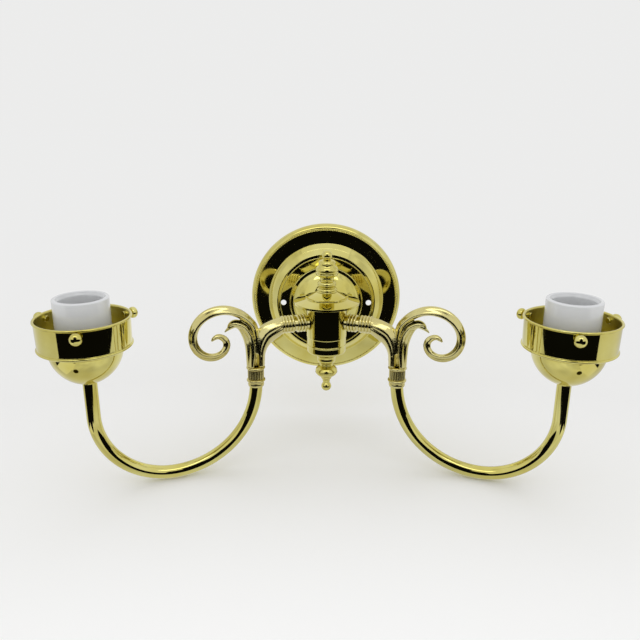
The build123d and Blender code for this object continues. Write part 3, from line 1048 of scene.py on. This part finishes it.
def drawn(bm, faces, height):
    """Draws a tube's end straight up or down by that many millimetres."""
    out = bmesh.ops.extrude_face_region(bm, geom=faces)["geom"]
    verts = [g for g in out if isinstance(g, bmesh.types.BMVert)]
    bmesh.ops.translate(bm, vec=(0, 0, height * MM), verts=verts)
    return [g for g in out if isinstance(g, bmesh.types.BMFace)]


def bent(bm, faces, centre, steps):
    """Bends a tube's end by a quarter turn about a centre at (s, z)."""
    edges = list({e for f in faces for e in f.edges})
    verts = list({v for f in faces for v in f.verts})
    out = bmesh.ops.spin(
        bm,
        geom=verts + edges + faces,
        cent=(centre[0] * MM, 0, centre[1] * MM),
        axis=(0, 1, 0),
        angle=-pi / 2,
        steps=steps,
    )["geom_last"]
    return [g for g in out if isinstance(g, bmesh.types.BMFace)]


HOLDER_OUTLINE = [
    (30.35, 19.3),
    (30.0, 2.6),
    (29.95, 2.4, 0.03),
    (30.05, 2.1, 0.03),
    (30.0, 0.5, 0.8),
    (29.6, 0.1, 0.05),
    (24.6, -2.0),
    (24.2, -2.25, 0.04),
    (8.7, -23.6, 3.5),
    (4.91, -23.6),
    (4.91, -22.8),
    (8.5, -22.8),
    (23.5, -1.8, -3.4),
    (29.1, 0.6),
    (29.2, 2.6),
    (29.55, 19.3),
    (29.4, 20.15, 0.15),
    (31.25, 20.15, 0.92),
]
SEAT_OUTLINE = [
    (4.78, -25.0),
    (5.9, -25.0),
    (6.1, -24.8, -0.05),
    (6.1, -23.8),
    (5.95, -23.62, -0.03),
    (4.78, -23.62),
]
BAND_R = 30.0
SCREW_HOLE_R = 2.16
VENT_R = 1.65
VENT_OUT = 22.4
VENT_Z = -8.5
VENT_TURN = -74.0  # degrees from the arm's line
VENT_TILT = 108  # degrees between the drill and the cup's axis
INNER_FINISH = 1  # the index of the duller finish that the inside of a holder has


class SCONCE_OT_shade_holders(bpy.types.Operator):
    """Makes the two spun shade holders, with vents and screw holes, and the seats below them"""

    bl_idname = "sconce.shade_holders"
    bl_label = "Shade holders"

    def execute(self, context):
        for side_name, side in SIDES.items():
            place = arm_place(side, CUP_S)
            bm = bmesh.new()
            turned(bm, HOLDER_OUTLINE, steps=144, place=place)
            holder = piece(
                "holder_spinning_" + side_name,
                bm,
                finish("spun_brass"),
                ["shade_holder_" + side_name],
            )
            drills = bmesh.new()
            for turn in range(3):
                screw = place @ third(side, THUMB_TURN, turn)
                screw = screw @ Matrix.Translation((BAND_R * MM, 0, THUMB_Z * MM))
                screw = screw @ Matrix.Rotation(pi / 2, 4, "Y")
                rod(drills, SCREW_HOLE_R * MM, DRILL_DEPTH * MM, screw)
                vent = place @ third(side, VENT_TURN, turn)
                vent = vent @ Matrix.Translation((VENT_OUT * MM, 0, VENT_Z * MM))
                vent = vent @ Matrix.Rotation(radians(VENT_TILT), 4, "Y")
                rod(drills, VENT_R * MM, DRILL_DEPTH * MM, vent)
            drilled(holder, drills)
            holder.data.materials.append(finish("inner_brass"))
            for face in holder.data.polygons:
                out = face.center - place.translation
                if out.z > 0 and face.normal.dot(out.to_2d().to_3d()) < 0:
                    face.material_index = INNER_FINISH
            seat = bmesh.new()
            turned(seat, SEAT_OUTLINE, steps=56, place=place)
            piece(
                "seat_turning_" + side_name,
                seat,
                finish("spun_brass"),
                ["cup_seat_" + side_name],
            )
        return {"FINISHED"}


SCREW_OUTLINE = [
    (0, 28.0),
    (1.7, 28.0),
    (2.05, 28.35),
    (2.05, 32.7),
    (2.35, 33.2, 0.08),
    (3.3, 33.5, 0.05),
    (3.75, 34.0, -0.12),
    (3.9, 34.9, -0.07),
    (3.9, 35.2),
    (3.5, 36.6, -0.12),
    (2.2, 37.7, -0.14),
    (0, 38.2, -0.12),
]


class SCONCE_OT_thumb_screws(bpy.types.Operator):
    """Makes the six thumb screws"""

    bl_idname = "sconce.thumb_screws"
    bl_label = "Thumb screws"

    def execute(self, context):
        for side_name, side in SIDES.items():
            for turn, where in enumerate(("outer", "rear", "front")):
                node = f"thumb_screw_{where}_{side_name}"
                place = arm_place(side, CUP_S, THUMB_Z) @ third(side, THUMB_TURN, turn)
                place = place @ Matrix.Rotation(pi / 2, 4, "Y")
                bm = bmesh.new()
                turned(bm, SCREW_OUTLINE, steps=48, place=place)
                piece(node + "_turning", bm, finish("spun_brass"), [node], body=node)
        return {"FINISHED"}


PORCELAIN_OUTLINE = [
    (0, -10.8),
    (14.1, -10.8),
    (14.6, -10.3, -0.14),
    (14.6, -3.2),
    (14.8, -2.7, 0.05),
    (17.6, -0.6),
    (17.9, -0.1, -0.06),
    (17.9, 32.7),
    (16.7, 33.8, -0.4),
    (15.4, 33.6, -0.25),
    (14.3, 31.6, 0.1),
    (14.2, 31.2, 0.02),
    (14.2, 1.4),
    (13.8, 1.0, -0.1),
    (0, 1.0),
]
NECK_OUTLINE = [
    (13.5, 7.5),
    (13.2, 7.3),
    (11.3, 5.3),
    (11.1, 4.9, 0.05),
    (11.1, 1.35),
    (6.4, 1.35),
    (6.4, 1.02),
    (11.4, 1.02),
    (11.4, 5.0),
    (13.5, 7.1),
    (13.7, 7.4),
]
SHELL_START = 3.5  # the thread is spun from here up, and then cut off at both levels
SHELL_LOW = 7.4
SHELL_TOP = 24.0
SHELL_SHEET = 0.3
CREST_R = 13.75
ROOT_R = 13.05
THREAD_WAVES = 6
WAVE_STEPS = 10
THREAD_STEPS = 64
THREAD_SHARP = 50  # degrees


def threaded(bm, pitch):
    """A sheet pressed into a rounded thread: a wavy side, spun with a rise of one pitch."""
    verts = []
    for step in range(THREAD_WAVES * WAVE_STEPS + 1):
        wave = tau * step / WAVE_STEPS
        radius = (CREST_R + ROOT_R) / 2 + (CREST_R - ROOT_R) / 2 * cos(wave)
        height = SHELL_START + pitch * step / WAVE_STEPS
        verts.append(bm.verts.new((radius * MM, 0, height * MM)))
    edges = [bm.edges.new(pair) for pair in zip(verts, verts[1:])]
    bmesh.ops.spin(
        bm,
        geom=verts + edges,
        cent=(0, 0, 0),
        axis=(0, 0, 1),
        dvec=(0, 0, pitch * MM / THREAD_STEPS),
        angle=tau,
        steps=THREAD_STEPS,
    )
    bmesh.ops.remove_doubles(bm, verts=bm.verts, dist=SEAM)


class SCONCE_OT_porcelains(bpy.types.Operator):
    """Makes the two porcelain bodies and their threaded shells"""

    bl_idname = "sconce.porcelains"
    bl_label = "Porcelain lampholders"

    def execute(self, context):
        pitch = context.scene.sconce_porcelain.thread_pitch / MM
        for side_name, side in SIDES.items():
            place = arm_place(side, CUP_S)
            bm = bmesh.new()
            turned(bm, PORCELAIN_OUTLINE, steps=112, place=place)
            piece(
                "porcelain_" + side_name,
                bm,
                finish("white_glaze"),
                ["socket_body_" + side_name],
            )
            shell = bmesh.new()
            threaded(shell, pitch)
            for level, kept in ((SHELL_LOW, 1), (SHELL_TOP, -1)):
                bmesh.ops.bisect_plane(
                    shell,
                    geom=shell.verts[:] + shell.edges[:] + shell.faces[:],
                    plane_co=(0, 0, level * MM),
                    plane_no=(0, 0, -kept),
                    clear_outer=True,
                )
            bmesh.ops.transform(shell, matrix=place, verts=shell.verts)
            made = piece(
                "lamp_shell_" + side_name,
                shell,
                finish("pressed_aluminium"),
                ["screw_shell_" + side_name],
                sharp=THREAD_SHARP,
                outward=False,
            )
            sheet = made.modifiers.new("Sheet", "SOLIDIFY")
            sheet.thickness = SHELL_SHEET * MM
            sheet.offset = 0
            settle(made, THREAD_SHARP)
            neck = bmesh.new()
            turned(neck, NECK_OUTLINE, steps=72, place=place)
            piece("shell_neck_" + side_name, neck, finish("pressed_aluminium"), [])
        return {"FINISHED"}


SLOT_FINISHES = {
    "polished_brass": "spun_brass",
    "zinc_plated_steel": "zinc_plate",
    "white_porcelain": "white_glaze",
    "shell_aluminium": "pressed_aluminium",
    "contact_brass": "plain_brass",
}


class SCONCE_OT_fittings(bpy.types.Operator):
    """Gives every CAD node, also the fittings that stay as they are, the finish of its slot"""

    bl_idname = "sconce.fittings"
    bl_label = "Fittings"

    def execute(self, context):
        slots = {row["node"]: row["material_slot"] for row in frame["record"]["subparts"]}
        for node, made in frame["nodes"].items():
            material = finish(SLOT_FINISHES[slots[node]])
            if not made.material_slots:
                made.data.materials.append(material)
            for slot in made.material_slots:
                slot.material = material
        return {"FINISHED"}


# ======== Stage ========
class SCONCE_OT_stage(bpy.types.Operator):
    """Makes the floor, the room and cards that the brass reflects, the light and the camera"""

    bl_idname = "sconce.stage"
    bl_label = "Stage"

    def execute(self, context):
        settings = context.scene.sconce_stage
        floor(settings)
        room()
        cards(settings)
        world(context.scene, settings)
        camera(context.scene)
        context.scene.view_settings.view_transform = "Standard"
        return {"FINISHED"}


def stage_object(name, bm, material):
    """Makes the mesh an object of the stage."""
    mesh = bpy.data.meshes.new(name)
    bm.to_mesh(mesh)
    bm.free()
    made = bpy.data.objects.new(name, mesh)
    bpy.context.collection.objects.link(made)
    mesh.materials.append(material)
    return made


# ---- Stage sizes, in metres ----
FLOOR_R = 12
FLOOR_GAP = 0.0003  # between the floor and the lowest point of the sconce
# Painted light: round FLOOR_MIDDLE, near the camera, the floor is painted lighter, standing in for the
# brighter light there. It fades to the backdrop's colour between FLOOR_NEAR and FLOOR_FAR.
FLOOR_MIDDLE = -0.5  # the floor fades into the backdrop from FLOOR_NEAR to FLOOR_FAR round here
FLOOR_NEAR = 0.2
FLOOR_FAR = 0.6


def floor(settings):
    """The pale floor, with painted light: lighter near the camera, fading into the backdrop far off. It
    isn't seen in reflections.
    """
    bm = bmesh.new()
    bmesh.ops.create_circle(bm, cap_ends=True, segments=64, radius=FLOOR_R)
    low = CAD_BOX[0].z - FLOOR_GAP
    bmesh.ops.translate(bm, vec=(0, 0, low), verts=bm.verts)
    material, tree, shader = nodes_of("floor_paper")
    tree.nodes.remove(shader)
    diffuse = tree.nodes.new("ShaderNodeBsdfDiffuse")
    where = tree.nodes.new("ShaderNodeTexCoord")
    away = tree.nodes.new("ShaderNodeVectorMath")
    away.operation = "DISTANCE"
    away.inputs[1].default_value = (0, FLOOR_MIDDLE, low)
    tree.links.new(where.outputs["Object"], away.inputs[0])
    far = ranged(tree, away.outputs["Value"], low=0, high=1, start=FLOOR_NEAR, end=FLOOR_FAR)
    painted_light_fade = mixed(tree, far, settings.near_floor_painted_lighter, settings.backdrop_colour)
    tree.links.new(painted_light_fade, diffuse.inputs["Color"])
    tree.links.new(diffuse.outputs["BSDF"], tree.nodes["Material Output"].inputs["Surface"])
    made = stage_object("floor", bm, material)
    made.visible_glossy = False


ROOM_HALF = 1.5
ROOM_FRONT = -1.2
ROOM_BACK = -0.05
ROOM_LOW = -0.9
ROOM_SIDE_TOP = 0.05
ROOM_GLOW = 0.004
# Half width, low edge and top of the walls across the front, which narrow in steps
FRONT_WALLS = [(ROOM_HALF, ROOM_LOW, 0.14), (0.42, 0.14, 0.52), (0.2, 0.52, 0.95)]


def room():
    """The dark room in front, seen only in reflections."""
    bm = bmesh.new()
    for half, low, top in FRONT_WALLS:
        wall(bm, (-half, ROOM_FRONT), (half, ROOM_FRONT), low, top)
    for across in (-ROOM_HALF, ROOM_HALF):
        wall(bm, (across, ROOM_FRONT), (across, ROOM_BACK), ROOM_LOW, ROOM_SIDE_TOP)
    reflected_only(stage_object("room", bm, glow("room_dark", ROOM_GLOW)))


TABLE_TILT = 21.8  # degrees; the table card lies under the tubes' bends and the plate's rim
TABLE_Z = -0.0632
TABLE_FRONT = -1.0
CARD_HALF = 0.25
CARD_BACK = 0.25
CARD_HIGH = 0.40
# Front, back and low edge of each side card's two parts
SIDE_CARDS = [(-0.14, CARD_BACK, -0.2), (-0.235, -0.14, -0.05)]
CARD_CLOUD = 7  # scale of the cards' uneven brightness
CARD_DIMMEST = 0.65
STRIP_HALF = 0.7
STRIP_FRONT = -0.9
STRIP_LOW = 1.0
STRIP_HIGH = 1.45


def cards(settings):
    """White cards below and beside the sconce and a strip above, seen only in reflections."""
    bm = bmesh.new()
    tilt = Matrix.Translation((0, 0, TABLE_Z)) @ Matrix.Rotation(radians(TABLE_TILT), 4, "X")
    wall(bm, (-CARD_HALF, TABLE_FRONT), (-CARD_HALF, CARD_BACK), 0, 2 * CARD_HALF)
    flat = Matrix.Translation((-CARD_HALF, 0, 0)) @ Matrix.Rotation(pi / 2, 4, "Y")
    flat = flat @ Matrix.Translation((CARD_HALF, 0, 0))
    bmesh.ops.transform(bm, matrix=tilt @ flat, verts=bm.verts)
    for across in (-CARD_HALF, CARD_HALF):
        for front, back, low in SIDE_CARDS:
            wall(bm, (across, front), (across, back), low, CARD_HIGH)
    brightest = settings.card_strength
    white = glow("card_white", brightest)
    tree = white.node_tree
    level = ranged(tree, noise(tree, CARD_CLOUD, detail=1), CARD_DIMMEST * brightest, brightest)
    tree.links.new(level, tree.nodes["Emission"].inputs["Strength"])
    reflected_only(stage_object("cards", bm, white))
    strip = bmesh.new()
    wall(strip, (-STRIP_HALF, STRIP_FRONT), (STRIP_HALF, STRIP_FRONT), STRIP_LOW, STRIP_HIGH)
    reflected_only(stage_object("strip", strip, glow("strip_white", settings.strip_strength)))


def reflected_only(made):
    """Hides a piece of the stage from all but reflections, so that it lights nothing."""
    made.visible_camera = False
    made.visible_diffuse = False
    made.visible_shadow = False
    made.visible_transmission = False
    made.visible_volume_scatter = False


def glow(name, strength):
    """A material of even brightness."""
    material, tree, shader = nodes_of(name)
    tree.nodes.remove(shader)
    light = tree.nodes.new("ShaderNodeEmission")
    light.inputs["Strength"].default_value = strength
    tree.links.new(light.outputs["Emission"], tree.nodes["Material Output"].inputs["Surface"])
    return material


def wall(bm, start, end, low, high):
    """An upright wall over the line from start to end, seen from above."""
    verts = [bm.verts.new((*spot, low)) for spot in (start, end)]
    edge = bm.edges.new(verts)
    grown = bmesh.ops.extrude_edge_only(bm, edges=[edge])["geom"]
    top = [g for g in grown if isinstance(g, bmesh.types.BMVert)]
    bmesh.ops.translate(bm, vec=(0, 0, high - low), verts=top)


def world(scene, settings):
    """White light, and the backdrop's colour for the eye and in reflections."""
    sky = bpy.data.worlds.new("backdrop")
    sky.use_nodes = True
    tree = sky.node_tree
    path = tree.nodes.new("ShaderNodeLightPath")
    seen = path.outputs["Is Camera Ray"]
    for ray in ("Is Glossy Ray", "Is Transmission Ray"):
        either = tree.nodes.new("ShaderNodeMath")
        either.operation = "MAXIMUM"
        tree.links.new(seen, either.inputs[0])
        tree.links.new(path.outputs[ray], either.inputs[1])
        seen = either.outputs["Value"]
    shown = mixed(tree, seen, (1, 1, 1), settings.backdrop_colour)
    tree.links.new(shown, tree.nodes["Background"].inputs["Color"])
    scene.world = sky


CAMERA_PLACE = (-0.00492, -0.52432, 0.14372)
CAMERA_LENS = 35.904  # millimetres, on a sensor 36 mm wide
CAMERA_DIP = 17.43  # degrees below level
CAMERA_ROLL = 0.2


def camera(scene):
    """The camera, where the sconce was seen from."""
    data = bpy.data.cameras.new("camera")
    data.lens = CAMERA_LENS
    data.sensor_width = 36
    data.clip_start = 0.01
    data.clip_end = 50
    made = bpy.data.objects.new("camera", data)
    made.location = CAMERA_PLACE
    dip = Matrix.Rotation(radians(90 - CAMERA_DIP), 4, "X")
    turn = dip @ Matrix.Rotation(radians(CAMERA_ROLL), 4, "Z")
    made.rotation_euler = turn.to_euler()
    scene.collection.objects.link(made)
    scene.camera = made


# ======== Panel and main ========
OPERATORS = [
    SCONCE_OT_backplate,
    SCONCE_OT_stem,
    SCONCE_OT_hub,
    SCONCE_OT_castings,
    SCONCE_OT_ferrules,
    SCONCE_OT_tubes,
    SCONCE_OT_shade_holders,
    SCONCE_OT_thumb_screws,
    SCONCE_OT_porcelains,
    SCONCE_OT_fittings,
    SCONCE_OT_stage,
]


class SCONCE_PT_panel(bpy.types.Panel):
    """Lists the pieces of the sconce"""

    bl_idname = "SCONCE_PT_panel"
    bl_label = "Wall Sconce"
    bl_space_type = "VIEW_3D"
    bl_region_type = "UI"
    bl_category = "Sconce"

    def draw(self, context):
        for name, group in SETTINGS.items():
            settings = getattr(context.scene, name)
            box = self.layout.box()
            for field in group.__annotations__:
                box.prop(settings, field)
        for operator in OPERATORS:
            self.layout.operator(operator.bl_idname)


CLASSES = list(SETTINGS.values()) + OPERATORS + [SCONCE_PT_panel]


def register():
    for item in CLASSES:
        bpy.utils.register_class(item)
    for name, group in SETTINGS.items():
        setattr(bpy.types.Scene, name, PointerProperty(type=group))


def unregister():
    for name in SETTINGS:
        delattr(bpy.types.Scene, name)
    for item in reversed(CLASSES):
        bpy.utils.unregister_class(item)


def main():
    """Registers the add-on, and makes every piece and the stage."""
    register()
    for operator in OPERATORS:
        family, name = operator.bl_idname.split(".")
        getattr(getattr(bpy.ops, family), name)()


if __name__ == "__main__":
    main()
